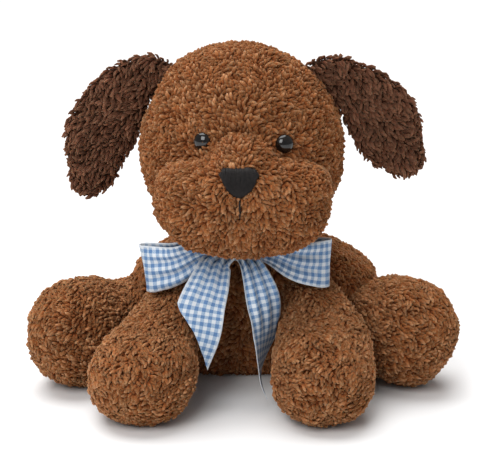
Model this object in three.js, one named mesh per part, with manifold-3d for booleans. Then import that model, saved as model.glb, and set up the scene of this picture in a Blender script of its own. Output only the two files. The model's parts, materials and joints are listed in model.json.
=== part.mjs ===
// A seated plush puppy: curly fur covers over soft stuffing, weighted paws and seat,
// dark floppy ears, safety eyes, a stitched nose and a ribbon bow. Millimetres, +Z up.
// The puppy looks along -Y. "Left" and "right" are the puppy's own sides: its left is +X.
// The origin is on the flat underside of the seat, on the puppy's middle plane.

import * as THREE from "three";
import { mergeVertices } from "three/addons/utils/BufferGeometryUtils.js";
import Module from "manifold-3d";

const wasm = await Module();
wasm.setup();

// ---------------------------------------------------------------- driving dimensions

const PILE = 4; // curly pile with its woven backing
const EASE = 0.3; // gap between two pieces that touch
const PLAY = 1.5; // gap between two pieces that move past each other
const SWEEP_STEP = 33; // most degrees between the positions that a clearance is cut for
const INSIDE_DETAIL = 0.7; // facets on the inside of a cover, as a share of those outside

const BODY_WIDTH = 164;
const BODY_DEPTH = 116;
const BODY_HEIGHT = 98; // seat to neck
const BODY_SINK = 16; // how much of the round underside is pressed flat
const BODY_CENTRE_Y = 18;
const BODY_LEAN = -16; // how far forward the chest leans over the middle of the body
const BODY_FULLNESS = 2.8;
const SEAT_PELLETS = 40; // radius of the pellets in the seat

const NECK_Y = -14;
const NECK_BALL = 24; // radius of the stuffed neck that the head turns on
const SHOULDER_RISE = 20; // radius at which the shoulders start to fall away
const SHOULDER_SLOPE = 24; // degrees

const HEAD_WIDTH = 136;
const HEAD_DEPTH = 122;
const HEAD_HEIGHT = 138;
const HEAD_Y = -20;
const HEAD_BOTTOM = 96;
const HEAD_FULLNESS = 2.15;
const HEAD_SWELL = 0.06; // how much wider the cheeks are than the brow

const MUZZLE_WIDTH = 118;
const MUZZLE_DEPTH = 80;
const MUZZLE_HEIGHT = 78;
const MUZZLE_Y = -76;
const MUZZLE_LEAN = 5; // how far the brow of the muzzle lies back from its middle, and the chin forward
const MUZZLE_Z = 140.5;
const MUZZLE_FULLNESS = 2.5;

const EYE_SPACING = 52;
const EYE_Z = 178;
const EYE_DIAMETER = 12.5;
const EYE_DOME = 4.4; // how far the dome stands out
const EYE_SHANK = 4; // shank diameter
const EYE_SHANK_LENGTH = 14;
const EYE_WASHER = 15; // locking washer diameter
const EYE_WASHER_THICKNESS = 1.6;

const NOSE_WIDTH = 27;
const NOSE_HEIGHT = 20;
const NOSE_Z = 158.5;
const NOSE_THREAD = 1.6; // height of the satin stitches over the fur backing
const MOUTH_LENGTH = 12;
const MOUTH_THREAD = 1.1; // radius of the mouth stitch

const EAR_THICKNESS = 17;
const EAR_ROOT_X = HEAD_WIDTH / 2 - 21; // sewn into the side of the head
const EAR_ROOT_Z = 203;
const EAR_ROOT_Y = -12;
const EAR_WIDTH = 50;
const EAR_ROOT_WIDTH = 26;
// The middle line of each ear from inside the head to its tip, as [out, up, forward] of its root.
const EAR_LINES = {
  left: [
    [-6, 3, 0],
    [10, 8, 0],
    [30, -4, 0],
    [44, -19, 1],
    [54, -37, 2],
    [65, -53, 3],
    [69, -60, 4],
  ],
  right: [
    [-6, 2, 0],
    [12, 8, 0],
    [32, -3, 0],
    [46, -25, 1],
    [53, -44, 2],
    [57, -66, 3],
    [57, -76, 4],
  ],
};

const FORELEG_WIDTH = 45; // at the shoulder
const SHOULDER_X = 41;
const SHOULDER_Y = 20 - FORELEG_WIDTH; // in front of the thigh
const SHOULDER_Z = 82.5 - FORELEG_WIDTH / 2; // under the bow
// Each paw, the width of the wrist above it, and how far that wrist bends out.
const RIGHT_PAW = { x: -65.5, y: -111, width: 79, length: 76, height: 68, wrist: 50, bend: 1 };
const LEFT_PAW = { x: 51, y: -114, width: 74, length: 76, height: 68, wrist: 53, bend: 3 };

const HIP_X = 54;
const HIP_Y = 34;
const HIP_Z = 34;
const THIGH_WIDTH = 58;
const HIND_FOOT = { x: 114, y: -46, width: 74, height: 78 };
const FOOT_SINK = 5; // how far a round paw is pressed flat by its weight

const TAIL_LENGTH = 52;
const TAIL_WIDTH = 24;
const TAIL_Z = 26;

const RIBBON_WIDTH = 32;
const BAND_RADIUS = 32; // of the ribbon band round the neck, to its middle
const BAND_SECTION = { out: 5, up: 7 };
const BOW_X = -5;
const BOW_Y = -59;
const BOW_Z = 95;
const KNOT_WIDTH = 15;
const LOOP_LENGTH = 62;
const LOOP_RISE = -7; // how far each loop climbs over the shoulder, or droops below 0
const LOOP_THICKNESS = 12;
const TAIL_RIBBON_THICKNESS = 2;

const LABEL = { width: 14, length: 18, thickness: 0.8, x: 34, z: 9 };

const FLOOR = 0; // what the puppy sits on
const JOINTS = {
  ear: { min: -6, max: 60 },
  lift: { min: 0, max: 14 },
  splay: { min: 0, max: 30 },
  wag: { min: -25, max: 25 },
};

const CURLY_BROWN = { color: 0x8c5a3c, roughness: 0.95, metalness: 0 };
const CURLY_DARK = { color: 0x462d26, roughness: 0.95, metalness: 0 };
const FIBRE = { color: 0xf1eee6, roughness: 0.9, metalness: 0 };
const PELLETS = { color: 0xd8d2c4, roughness: 0.8, metalness: 0 };
const BLACK_GLOSS = { color: 0x0d0907, roughness: 0.12, metalness: 0 };
const WASHER = { color: 0xe8e6e0, roughness: 0.5, metalness: 0 };
const CHARCOAL_THREAD = { color: 0x1f1c1d, roughness: 0.55, metalness: 0 };
const GINGHAM = { color: 0x8fb6dd, roughness: 0.7, metalness: 0 };
const LABEL_TAPE = { color: 0xf4f3ef, roughness: 0.6, metalness: 0 };

// ---------------------------------------------------------------- solids

const at = (x, y, z) => new THREE.Vector3(x, y, z);
const radians = THREE.MathUtils.degToRad;

// A closed geometry as a manifold solid, with its shared vertices merged.
function asSolid(geometry) {
  const bare = geometry.clone();
  bare.deleteAttribute("normal");
  bare.deleteAttribute("uv");
  const { attributes, index } = mergeVertices(bare, 1e-4);
  const mesh = new wasm.Mesh({
    numProp: 3,
    vertProperties: new Float32Array(attributes.position.array),
    triVerts: new Uint32Array(index.array),
  });
  return new wasm.Manifold(mesh);
}

function asGeometry(solid) {
  const { vertProperties, triVerts } = solid.getMesh();
  const geometry = new THREE.BufferGeometry();
  geometry.setAttribute("position", new THREE.BufferAttribute(vertProperties, 3));
  geometry.setIndex(new THREE.BufferAttribute(triVerts, 1));
  return geometry;
}

const join = (solids) => solids.reduce((whole, next) => whole.add(next));
const cut = (solid, ...tools) => tools.reduce((rest, tool) => rest.subtract(tool), solid);

function reshape(geometry, move) {
  const place = geometry.attributes.position;
  const point = new THREE.Vector3();
  for (let i = 0; i < place.count; i++) {
    move(point.fromBufferAttribute(place, i));
    place.setXYZ(i, point.x, point.y, point.z);
  }
  return geometry;
}

// A unit ball with its poles on Z, swollen towards a box as fullness rises above 2.
function fullBall(fullness, around, rows, detail) {
  const ball = new THREE.SphereGeometry(1, Math.round(around * detail), Math.round(rows * detail));
  ball.rotateX(Math.PI / 2);
  return reshape(ball, (p) => {
    const sum = Math.abs(p.x) ** fullness + Math.abs(p.y) ** fullness + Math.abs(p.z) ** fullness;
    p.multiplyScalar(sum ** (-1 / fullness));
  });
}

// A stuffed ball. The result makes its geometry, grown by a distance all round.
function stuffedBall({ centre, size, fullness = 2, swell = 0, lean = 0, around = 20, rows = 10 }) {
  return (grow = 0, detail = 1) =>
    reshape(fullBall(fullness, around, rows, detail), (p) => {
      const widen = 1 - swell * p.z;
      const shift = lean * p.z;
      p.set(
        p.x * widen * (size.x / 2 + grow),
        p.y * widen * (size.y / 2 + grow) + shift,
        p.z * (size.z / 2 + grow),
      ).add(centre);
    });
}

// A stuffed tube along a smooth spine. Widths and depths are full sizes, spread evenly from
// its first point to its last, and side is the direction that the widths are measured in.
function stuffedTube({ spine, widths, depths, side, fullness = 2.3, around = 14, rows = 10 }) {
  const curve = new THREE.CatmullRomCurve3(spine, false, "centripetal");
  const length = curve.getLength();
  const sizeAt = new THREE.CatmullRomCurve3(widths.map((w, i) => at(w / 2, depths[i] / 2, 0)));
  return (grow = 0, detail = 1) =>
    reshape(fullBall(fullness, around, rows, detail), (p) => {
      const reach = (1 + p.z) / 2 + (p.z * grow) / length;
      const t = THREE.MathUtils.clamp(reach, 0, 1);
      const along = curve.getTangent(t);
      const across = side.clone().addScaledVector(along, -side.dot(along)).normalize();
      const up = along.clone().cross(across);
      const half = sizeAt.getPoint(t);
      const { x, y } = p;
      p.copy(curve.getPoint(t))
        .addScaledVector(along, (reach - t) * length)
        .addScaledVector(across, x * (half.x + grow))
        .addScaledVector(up, y * (half.y + grow));
    });
}

function aboutAxis(pivot, axis, degrees) {
  return new THREE.Matrix4()
    .makeTranslation(pivot)
    .multiply(new THREE.Matrix4().makeRotationAxis(axis, radians(degrees)))
    .multiply(new THREE.Matrix4().makeTranslation(pivot.clone().negate()));
}

// The room that a form needs as its joint goes from one limit to the other.
function sweep(form, { pivot, axis, range }, grow) {
  const steps = Math.ceil((range.max - range.min) / SWEEP_STEP);
  const stops = Array.from({ length: steps + 1 }, (_, i) => i / steps);
  return join(
    stops.map((share) => {
      const angle = THREE.MathUtils.lerp(range.min, range.max, share);
      return asSolid(form(grow).applyMatrix4(aboutAxis(pivot, axis, angle)));
    }),
  );
}

function aboveHeight(height) {
  const side = 800;
  return asSolid(new THREE.BoxGeometry(side, side, side).translate(0, 0, height + side / 2));
}

const ballAt = (centre, radius) =>
  asSolid(new THREE.SphereGeometry(radius, 18, 10).translate(centre.x, centre.y, centre.z));

// The space inside a cover, less a gap.
const inside = (form, gap = 0) =>
  asSolid(form(-PILE - gap, INSIDE_DETAIL)).intersect(aboveHeight(FLOOR + PILE + gap));

// A fur cover: the outer form less the space inside it.
const cover = (form) => cut(asSolid(form(0)).intersect(aboveHeight(FLOOR)), inside(form));

// What fills a cover, resting clear of it.
const filling = (form) => inside(form, EASE);

// A rod from one point towards a direction, for bores and sewing openings.
function rod(from, direction, radius, length, sides = 16) {
  const bar = new THREE.CylinderGeometry(radius, radius, length, sides).translate(0, length / 2, 0);
  const turn = new THREE.Quaternion().setFromUnitVectors(at(0, 1, 0), direction);
  return asSolid(bar.applyQuaternion(turn).translate(from.x, from.y, from.z));
}

// ---------------------------------------------------------------- forms

const NECK = at(0, NECK_Y, BODY_HEIGHT);

const bodyForm = stuffedBall({
  centre: at(0, BODY_CENTRE_Y, (BODY_HEIGHT - BODY_SINK) / 2),
  size: at(BODY_WIDTH, BODY_DEPTH, BODY_HEIGHT + BODY_SINK),
  fullness: BODY_FULLNESS,
  lean: BODY_LEAN,
  around: 24,
  rows: 12,
});

const headForm = stuffedBall({
  centre: at(0, HEAD_Y, HEAD_BOTTOM + HEAD_HEIGHT / 2),
  size: at(HEAD_WIDTH, HEAD_DEPTH, HEAD_HEIGHT),
  fullness: HEAD_FULLNESS,
  swell: HEAD_SWELL,
  around: 24,
  rows: 12,
});

const muzzleForm = stuffedBall({
  centre: at(0, MUZZLE_Y, MUZZLE_Z),
  size: at(MUZZLE_WIDTH, MUZZLE_DEPTH, MUZZLE_HEIGHT),
  fullness: MUZZLE_FULLNESS,
  lean: MUZZLE_LEAN,
});

function foreleg(side, paw) {
  const shoulder = at(side * SHOULDER_X, SHOULDER_Y, SHOULDER_Z);
  const pawMiddle = at(paw.x, paw.y, paw.height / 2 - FOOT_SINK);
  const along = pawMiddle.clone().sub(shoulder).normalize();
  const root = shoulder.clone().addScaledVector(along, -FORELEG_WIDTH / 2);
  const tip = pawMiddle.clone().addScaledVector(at(along.x, along.y, 0), paw.length / 2);
  const wrist = shoulder.clone().lerp(pawMiddle, 0.5).add(at(side * paw.bend, 0, 0));
  return {
    form: stuffedTube({
      spine: [root, shoulder, wrist, pawMiddle, tip],
      widths: [FORELEG_WIDTH, FORELEG_WIDTH, paw.wrist, paw.width, paw.width],
      depths: [FORELEG_WIDTH, FORELEG_WIDTH, FORELEG_WIDTH, paw.height, paw.height],
      side: at(1, 0, 0),
    }),
    joint: { pivot: shoulder, axis: at(-1, 0, 0), range: JOINTS.lift },
    root: shoulder,
    width: FORELEG_WIDTH,
    along,
    weight: pawMiddle,
  };
}

function hindLeg(side) {
  const hip = at(side * HIP_X, HIP_Y, HIP_Z);
  const foot = at(side * HIND_FOOT.x, HIND_FOOT.y, HIND_FOOT.height / 2 - FOOT_SINK);
  const along = foot.clone().sub(hip).normalize();
  const root = hip.clone().addScaledVector(along, -THIGH_WIDTH / 2);
  const tip = foot.clone().addScaledVector(along, HIND_FOOT.width / 2);
  const knee = hip.clone().lerp(foot, 0.5);
  return {
    form: stuffedTube({
      spine: [root, hip, knee, foot, tip],
      widths: [THIGH_WIDTH, THIGH_WIDTH, THIGH_WIDTH, HIND_FOOT.width, HIND_FOOT.width],
      depths: [THIGH_WIDTH, THIGH_WIDTH, THIGH_WIDTH, HIND_FOOT.height, HIND_FOOT.height],
      side: at(0, 1, 0),
    }),
    joint: { pivot: hip, axis: at(0, 0, side), range: JOINTS.splay },
    root: hip,
    width: THIGH_WIDTH,
    along,
    weight: foot,
  };
}

function ear(side, line) {
  const root = at(side * EAR_ROOT_X, EAR_ROOT_Y, EAR_ROOT_Z);
  const spine = line.map(([out, up, forward]) => root.clone().add(at(side * out, -forward, up)));
  return {
    form: stuffedTube({
      spine,
      widths: [
        EAR_ROOT_WIDTH,
        EAR_ROOT_WIDTH * 1.1,
        EAR_WIDTH * 0.8,
        EAR_WIDTH,
        EAR_WIDTH * 0.92,
        EAR_WIDTH * 0.68,
        EAR_WIDTH * 0.5,
      ],
      depths: line.map(() => EAR_THICKNESS),
      side: at(0.5, 0, side),
      fullness: 2.7,
      around: 12,
      rows: 12,
    }),
    joint: { pivot: root, axis: at(0, -side, 0), range: JOINTS.ear },
    root,
    width: EAR_ROOT_WIDTH,
    along: spine[1].clone().sub(spine[0]).normalize(),
  };
}

function tail() {
  const root = at(0, BODY_CENTRE_Y + BODY_DEPTH / 2 - 8, TAIL_Z);
  return {
    form: stuffedTube({
      spine: [
        root.clone().add(at(0, -6, -4)),
        root.clone().add(at(0, TAIL_LENGTH * 0.3, 4)),
        root.clone().add(at(0, TAIL_LENGTH * 0.55, 16)),
        root.clone().add(at(0, TAIL_LENGTH * 0.62, TAIL_LENGTH * 0.6)),
      ],
      widths: [TAIL_WIDTH, TAIL_WIDTH, TAIL_WIDTH, TAIL_WIDTH * 0.8],
      depths: [TAIL_WIDTH, TAIL_WIDTH, TAIL_WIDTH, TAIL_WIDTH * 0.8],
      side: at(1, 0, 0),
      around: 14,
      rows: 10,
    }),
    joint: { pivot: root, axis: at(0, 0, 1), range: JOINTS.wag },
    root,
    width: TAIL_WIDTH,
    along: at(0, 1, 0),
  };
}

const SIDES = { left: 1, right: -1 };
const forelegs = { left: foreleg(SIDES.left, LEFT_PAW), right: foreleg(SIDES.right, RIGHT_PAW) };
const hindLegs = { left: hindLeg(SIDES.left), right: hindLeg(SIDES.right) };
const ears = {
  left: ear(SIDES.left, EAR_LINES.left),
  right: ear(SIDES.right, EAR_LINES.right),
};
const theTail = tail();
const torsoLimbs = [forelegs.left, forelegs.right, hindLegs.left, hindLegs.right, theTail];

// ---------------------------------------------------------------- body and neck

// Everything above the shoulders, which fall away all round the neck so the head can nod.
function aboveShoulders(grow) {
  const far = 200;
  const top = BODY_HEIGHT + grow;
  const fall = (far - SHOULDER_RISE) * Math.tan(radians(SHOULDER_SLOPE));
  const outline = [
    [0, top],
    [SHOULDER_RISE, top],
    [far, top - fall],
    [far, top + far],
    [0, top + far],
  ].map(([radius, height]) => new THREE.Vector2(radius, height));
  const lathe = new THREE.LatheGeometry(outline, 24).rotateX(Math.PI / 2);
  return asSolid(lathe.translate(0, NECK_Y, 0));
}

const neckRoom = ballAt(NECK, NECK_BALL + PLAY);
const limbRoom = torsoLimbs.map(({ form, joint }) => sweep(form, joint, PLAY));

// A filling keeps further off what moves in it: clear of a rod round it at each of its limits.
const FILLING_PLAY = 5;
const hollows = (limbs) =>
  limbs.flatMap(({ root, along, joint, width }) =>
    [joint.range.min, joint.range.max].map((angle) => {
      const direction = along.clone().applyAxisAngle(joint.axis, radians(angle));
      const start = root.clone().addScaledVector(direction, -width / 2 - PLAY);
      return rod(start, direction, width / 2 + FILLING_PLAY, BODY_WIDTH, 12);
    }),
  );

const bandForm = (grow = 0) => {
  const { out, up } = BAND_SECTION;
  const height = BODY_HEIGHT - (BAND_RADIUS - SHOULDER_RISE) * Math.tan(radians(SHOULDER_SLOPE));
  const section = new THREE.EllipseCurve(BAND_RADIUS, height, out / 2 + grow, up / 2 + grow);
  return new THREE.LatheGeometry(section.getPoints(6), 24)
    .rotateX(Math.PI / 2)
    .translate(0, NECK_Y, 0);
};

// Pellets lie in the bottom of a filling: the part of it inside a ball round a floor point.
const pelletHeap = ({ x, y, radius }, grow = 0) =>
  asSolid(new THREE.SphereGeometry(radius + grow, 12, 6).translate(x, y, FLOOR));
const seatHeap = { x: 0, y: BODY_CENTRE_Y, radius: SEAT_PELLETS };

const bandRoom = asSolid(bandForm(EASE));

const bodyCover = () => {
  const outer = cut(asSolid(bodyForm(0)).intersect(aboveHeight(FLOOR)), aboveShoulders(0));
  return cut(outer, cut(inside(bodyForm), aboveShoulders(-PILE)), neckRoom, bandRoom, ...limbRoom);
};
const bodyFilling = () =>
  cut(filling(bodyForm), aboveShoulders(-PILE - EASE), neckRoom, bandRoom, ...hollows(torsoLimbs));
const bodyStuffing = () => cut(bodyFilling(), pelletHeap(seatHeap, EASE));
const seatPellets = () => bodyFilling().intersect(pelletHeap(seatHeap));

// ---------------------------------------------------------------- head

// The y of a ball form's front surface at a given x and z.
function frontOf({ width, depth, height, y, z, fullness, swell = 0, lean = 0 }, px, pz) {
  const up = (pz - z) / (height / 2);
  const widen = 1 - swell * up;
  const across = Math.abs(px) / (widen * (width / 2));
  const left = 1 - across ** fullness - Math.abs(up) ** fullness;
  return y + lean * up - (depth / 2) * widen * left ** (1 / fullness);
}

const HEAD_SHAPE = {
  width: HEAD_WIDTH,
  depth: HEAD_DEPTH,
  height: HEAD_HEIGHT,
  y: HEAD_Y,
  z: HEAD_BOTTOM + HEAD_HEIGHT / 2,
  fullness: HEAD_FULLNESS,
  swell: HEAD_SWELL,
};
const MUZZLE_SHAPE = {
  width: MUZZLE_WIDTH,
  depth: MUZZLE_DEPTH,
  height: MUZZLE_HEIGHT,
  y: MUZZLE_Y,
  z: MUZZLE_Z,
  fullness: MUZZLE_FULLNESS,
  lean: MUZZLE_LEAN,
};

function eyePlace(side) {
  const x = (side * EYE_SPACING) / 2;
  const seat = at(x, frontOf(HEAD_SHAPE, x, EYE_Z), EYE_Z);
  const out = at(
    x / HEAD_WIDTH ** 2,
    (seat.y - HEAD_Y) / HEAD_DEPTH ** 2,
    (EYE_Z - HEAD_SHAPE.z) / HEAD_HEIGHT ** 2,
  ).normalize();
  return { seat, out, back: out.clone().negate() };
}
const eyePlaces = { left: eyePlace(SIDES.left), right: eyePlace(SIDES.right) };

const EYE_SUNK = 1; // how far the rim of the dome sits in the pile
const WASHER_DEPTH = PILE + 3.5; // from the head's surface in to the washer

// A turned piece standing on a seat and pointing out of it.
function turned(outline, { seat, out }, sides = 18) {
  const points = outline.map(([radius, height]) => new THREE.Vector2(radius, height));
  const turn = new THREE.Quaternion().setFromUnitVectors(at(0, 1, 0), out);
  const lathe = new THREE.LatheGeometry(points, sides).applyQuaternion(turn);
  return asSolid(lathe.translate(seat.x, seat.y, seat.z));
}

function eye(place) {
  const radius = EYE_DIAMETER / 2;
  const dome = new THREE.EllipseCurve(0, -EYE_SUNK, radius, EYE_DOME + EYE_SUNK, 0, Math.PI / 2);
  return turned(
    [
      [0, -EYE_SHANK_LENGTH],
      [EYE_SHANK / 2, -EYE_SHANK_LENGTH],
      [EYE_SHANK / 2, -EYE_SUNK],
      ...dome.getPoints(6).slice(0, -1).map((p) => [p.x, p.y]),
      [0, EYE_DOME],
    ],
    place,
  );
}

function washer(place) {
  const inner = EYE_SHANK / 2 + EASE;
  const bottom = -WASHER_DEPTH - EYE_WASHER_THICKNESS;
  return turned(
    [
      [inner, bottom],
      [EYE_WASHER / 2, bottom],
      [EYE_WASHER / 2, -WASHER_DEPTH],
      [inner, -WASHER_DEPTH],
      [inner, bottom],
    ],
    place,
  );
}

const pocket = ({ seat, out }, radius, from, to) =>
  rod(seat.clone().addScaledVector(out, from), out, radius, to - from);

const eyeSockets = Object.values(eyePlaces).map((place) =>
  pocket(place, EYE_DIAMETER / 2 + EASE, -EYE_SUNK - EASE, EYE_DOME * 3),
);
const shankBores = Object.values(eyePlaces).map((place) =>
  pocket(place, EYE_SHANK / 2 + EASE, -PILE * 2, 0),
);
const washerRooms = Object.values(eyePlaces).map((place) =>
  pocket(place, EYE_WASHER / 2 + EASE, -EYE_SHANK_LENGTH - EASE, 0),
);

const earRoom = Object.values(ears).map(({ form, joint }) => sweep(form, joint, PLAY));

const headCover = () => cut(cover(headForm), neckRoom, ...earRoom, ...eyeSockets, ...shankBores);
const headStuffing = () =>
  cut(filling(headForm), neckRoom, ...hollows(Object.values(ears)), ...washerRooms);

// The stitched nose: a rounded triangle, broad at the top, laid over the front of the muzzle.
function noseOutline(grow) {
  const half = NOSE_WIDTH / 2 + grow;
  const top = NOSE_HEIGHT / 2 + grow;
  const outline = new THREE.Shape();
  outline.moveTo(0, -top);
  outline.quadraticCurveTo(half * 0.35, -top, half * 0.62, -top * 0.35);
  outline.quadraticCurveTo(half * 1.08, top * 0.35, half * 0.95, top * 0.7);
  outline.quadraticCurveTo(half * 0.82, top, half * 0.45, top);
  outline.lineTo(-half * 0.45, top);
  outline.quadraticCurveTo(-half * 0.82, top, -half * 0.95, top * 0.7);
  outline.quadraticCurveTo(-half * 1.08, top * 0.35, -half * 0.62, -top * 0.35);
  outline.quadraticCurveTo(-half * 0.35, -top, 0, -top);
  return outline;
}

function nosePrism(grow = 0) {
  const depth = MUZZLE_DEPTH;
  const prism = new THREE.ExtrudeGeometry(noseOutline(grow), {
    depth,
    bevelEnabled: false,
    curveSegments: 4,
  });
  return asSolid(prism.rotateX(Math.PI / 2).translate(0, MUZZLE_Y, NOSE_Z));
}

const NOSE_BED = -PILE * 0.4; // where the backing of the nose lies in the muzzle's pile
const nose = () =>
  cut(nosePrism().intersect(asSolid(muzzleForm(NOSE_THREAD))), asSolid(muzzleForm(NOSE_BED)));
const noseRoom = cut(nosePrism(EASE), asSolid(muzzleForm(NOSE_BED - EASE)));

function mouthForm(grow = 0) {
  const top = NOSE_Z - NOSE_HEIGHT / 2 - 1.5;
  const spine = [0, 1, 2].map((step) => {
    const z = top - (MOUTH_LENGTH * step) / 2;
    return at(0, frontOf(MUZZLE_SHAPE, 0, z), z);
  });
  const widths = spine.map(() => MOUTH_THREAD * 2);
  return stuffedTube({ spine, widths, depths: widths, side: at(1, 0, 0), around: 8, rows: 8 })(grow);
}

const headFront = asSolid(headForm(EASE));
const muzzleCover = () =>
  cut(
    asSolid(muzzleForm(0)),
    inside(muzzleForm),
    headFront,
    noseRoom,
    asSolid(mouthForm(EASE)),
    ...eyeSockets,
  );
const muzzleStuffing = () => cut(filling(muzzleForm), headFront, ...eyeSockets);

// ---------------------------------------------------------------- limbs, ears and tail

// The sewing opening at the root of a limb, through which it is filled.
const OPENING_SHARE = 0.55;
const opening = ({ root, along }, width) =>
  rod(root, along.clone().negate(), (width / 2) * OPENING_SHARE, width);

const PAW_PELLETS = 0.4; // radius of the pellets in a paw, as a share of the paw's width
function weightedLimb(limb, rootWidth, pawWidth) {
  const heap = { x: limb.weight.x, y: limb.weight.y, radius: pawWidth * PAW_PELLETS };
  return {
    cover: cut(cover(limb.form), opening(limb, rootWidth)),
    stuffing: cut(filling(limb.form), pelletHeap(heap, EASE)),
    pellets: filling(limb.form).intersect(pelletHeap(heap)),
  };
}

const earOpening = ({ root, along }) => rod(root, along.clone().negate(), 5, EAR_ROOT_X, 12);
const tailOpening = () => rod(theTail.root, at(0, -1, 0), TAIL_WIDTH * 0.25, TAIL_WIDTH, 12);

// ---------------------------------------------------------------- ribbon and label

const knotForm = stuffedBall({
  centre: at(BOW_X, BOW_Y, BOW_Z),
  size: at(KNOT_WIDTH, KNOT_WIDTH * 0.9, KNOT_WIDTH * 1.1),
  fullness: 2.4,
  around: 14,
  rows: 8,
});

const bowLoop = (side) =>
  stuffedTube({
    spine: [
      at(BOW_X + side * (KNOT_WIDTH / 2 - 3), BOW_Y, BOW_Z),
      at(BOW_X + side * LOOP_LENGTH * 0.55, BOW_Y - 1, BOW_Z + LOOP_RISE / 3),
      at(BOW_X + side * (LOOP_LENGTH + 3), BOW_Y + 3, BOW_Z + LOOP_RISE),
    ],
    widths: [RIBBON_WIDTH * 0.45, RIBBON_WIDTH * 0.85, RIBBON_WIDTH],
    depths: [LOOP_THICKNESS * 0.7, LOOP_THICKNESS, LOOP_THICKNESS],
    side: at(0, 0, side),
    fullness: 4,
    around: 12,
    rows: 8,
  });

const ribbonTail = (points, widths) =>
  stuffedTube({
    spine: points.map(([x, y, z]) => at(BOW_X + x, BOW_Y + y, BOW_Z + z)),
    widths,
    depths: widths.map(() => TAIL_RIBBON_THICKNESS),
    side: at(1, 0, 0),
    fullness: 5,
    around: 8,
    rows: 8,
  });

const ribbonTails = {
  right: ribbonTail([[-4, -8, -11], [-13, -20, -38], [-14, -19, -72]], [14, 18, 17]),
  left: ribbonTail([[6, -8, -11], [14, -22, -38], [11, -26, -68], [14, -26, -86]], [14, 18, 12, 10]),
};

const knotRoom = asSolid(knotForm(EASE));

function label() {
  const { width, length, thickness, x, z } = LABEL;
  const back = BODY_CENTRE_Y + BODY_DEPTH / 2;
  const tape = new THREE.BoxGeometry(width, length * 2, thickness).translate(x, back, z);
  return cut(asSolid(tape), asSolid(bodyForm(EASE)), ...limbRoom);
}

// ---------------------------------------------------------------- assembly

const group = new THREE.Group();

function add(name, solid, finish) {
  const mesh = new THREE.Mesh(asGeometry(solid), new THREE.MeshStandardMaterial(finish));
  mesh.name = name;
  group.add(mesh);
}

add("body_cover", bodyCover(), CURLY_BROWN);
add("body_stuffing", bodyStuffing(), FIBRE);
add("seat_pellet_bag", seatPellets(), PELLETS);
add("neck_stuffing", ballAt(NECK, NECK_BALL), FIBRE);

add("head_cover", headCover(), CURLY_BROWN);
add("head_stuffing", headStuffing(), FIBRE);
add("muzzle_cover", muzzleCover(), CURLY_BROWN);
add("muzzle_stuffing", muzzleStuffing(), FIBRE);
add("nose_embroidery", nose(), CHARCOAL_THREAD);
add("mouth_stitch", asSolid(mouthForm()), CHARCOAL_THREAD);

for (const [name, side] of Object.entries(SIDES)) {
  add(`${name}_eye`, eye(eyePlaces[name]), BLACK_GLOSS);
  add(`${name}_eye_washer`, washer(eyePlaces[name]), WASHER);
  add(`${name}_ear_cover`, cut(cover(ears[name].form), earOpening(ears[name])), CURLY_DARK);
  add(`${name}_ear_stuffing`, filling(ears[name].form), FIBRE);

  const front = weightedLimb(forelegs[name], FORELEG_WIDTH, LEFT_PAW.width);
  add(`${name}_foreleg_cover`, front.cover, CURLY_BROWN);
  add(`${name}_foreleg_stuffing`, front.stuffing, FIBRE);
  add(`${name}_forepaw_pellet_bag`, front.pellets, PELLETS);

  const hind = weightedLimb(hindLegs[name], THIGH_WIDTH, HIND_FOOT.width);
  add(`${name}_hind_leg_cover`, hind.cover, CURLY_BROWN);
  add(`${name}_hind_leg_stuffing`, hind.stuffing, FIBRE);
  add(`${name}_hind_foot_pellet_bag`, hind.pellets, PELLETS);

  add(`${name}_bow_loop`, cut(asSolid(bowLoop(side)()), knotRoom), GINGHAM);
  add(`${name}_ribbon_tail`, cut(asSolid(ribbonTails[name]()), knotRoom), GINGHAM);
}

add("tail_cover", cut(cover(theTail.form), tailOpening()), CURLY_BROWN);
add("tail_stuffing", filling(theTail.form), FIBRE);
add("ribbon_knot", asSolid(knotForm()), GINGHAM);
add("ribbon_neck_band", cut(asSolid(bandForm()), knotRoom), GINGHAM);
add("care_label", label(), LABEL_TAPE);

export default group;
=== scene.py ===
"""The looks of the seated plush puppy: curly pile, ribbon bow, eyes and stitched nose.

Metres, +Z up, the puppy looks along -Y, and its own left is +X, as in the frame.
"""

import json
import math
from bisect import bisect_left

import bmesh
import bpy
from mathutils import Matrix, Vector, noise
from mathutils.bvhtree import BVHTree


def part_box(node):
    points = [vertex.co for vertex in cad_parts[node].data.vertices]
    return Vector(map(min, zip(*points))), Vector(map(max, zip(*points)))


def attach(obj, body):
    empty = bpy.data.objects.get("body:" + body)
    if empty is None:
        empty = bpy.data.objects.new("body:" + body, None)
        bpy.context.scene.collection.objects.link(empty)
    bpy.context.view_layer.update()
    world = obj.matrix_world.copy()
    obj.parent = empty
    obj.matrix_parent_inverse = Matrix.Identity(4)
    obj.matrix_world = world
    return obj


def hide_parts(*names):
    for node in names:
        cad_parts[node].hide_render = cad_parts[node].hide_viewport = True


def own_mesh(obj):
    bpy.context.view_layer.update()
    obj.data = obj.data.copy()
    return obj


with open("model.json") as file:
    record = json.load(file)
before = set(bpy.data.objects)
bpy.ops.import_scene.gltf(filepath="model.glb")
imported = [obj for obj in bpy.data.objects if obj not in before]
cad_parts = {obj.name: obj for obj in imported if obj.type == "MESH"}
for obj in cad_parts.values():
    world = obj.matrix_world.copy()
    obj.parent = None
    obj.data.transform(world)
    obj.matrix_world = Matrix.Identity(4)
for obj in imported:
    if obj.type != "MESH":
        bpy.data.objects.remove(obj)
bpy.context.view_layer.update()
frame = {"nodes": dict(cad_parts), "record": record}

MM = 0.001
SIDES = {"left": 1, "right": -1}
JOINTS = {joint["name"]: joint for joint in frame["record"]["behaviour"]["joints"]}


def middle(node):
    low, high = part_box(node)
    return (Vector(low) + Vector(high)) / 2


def pivot(joint):
    return Vector(JOINTS[joint]["pos_m"])


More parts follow.
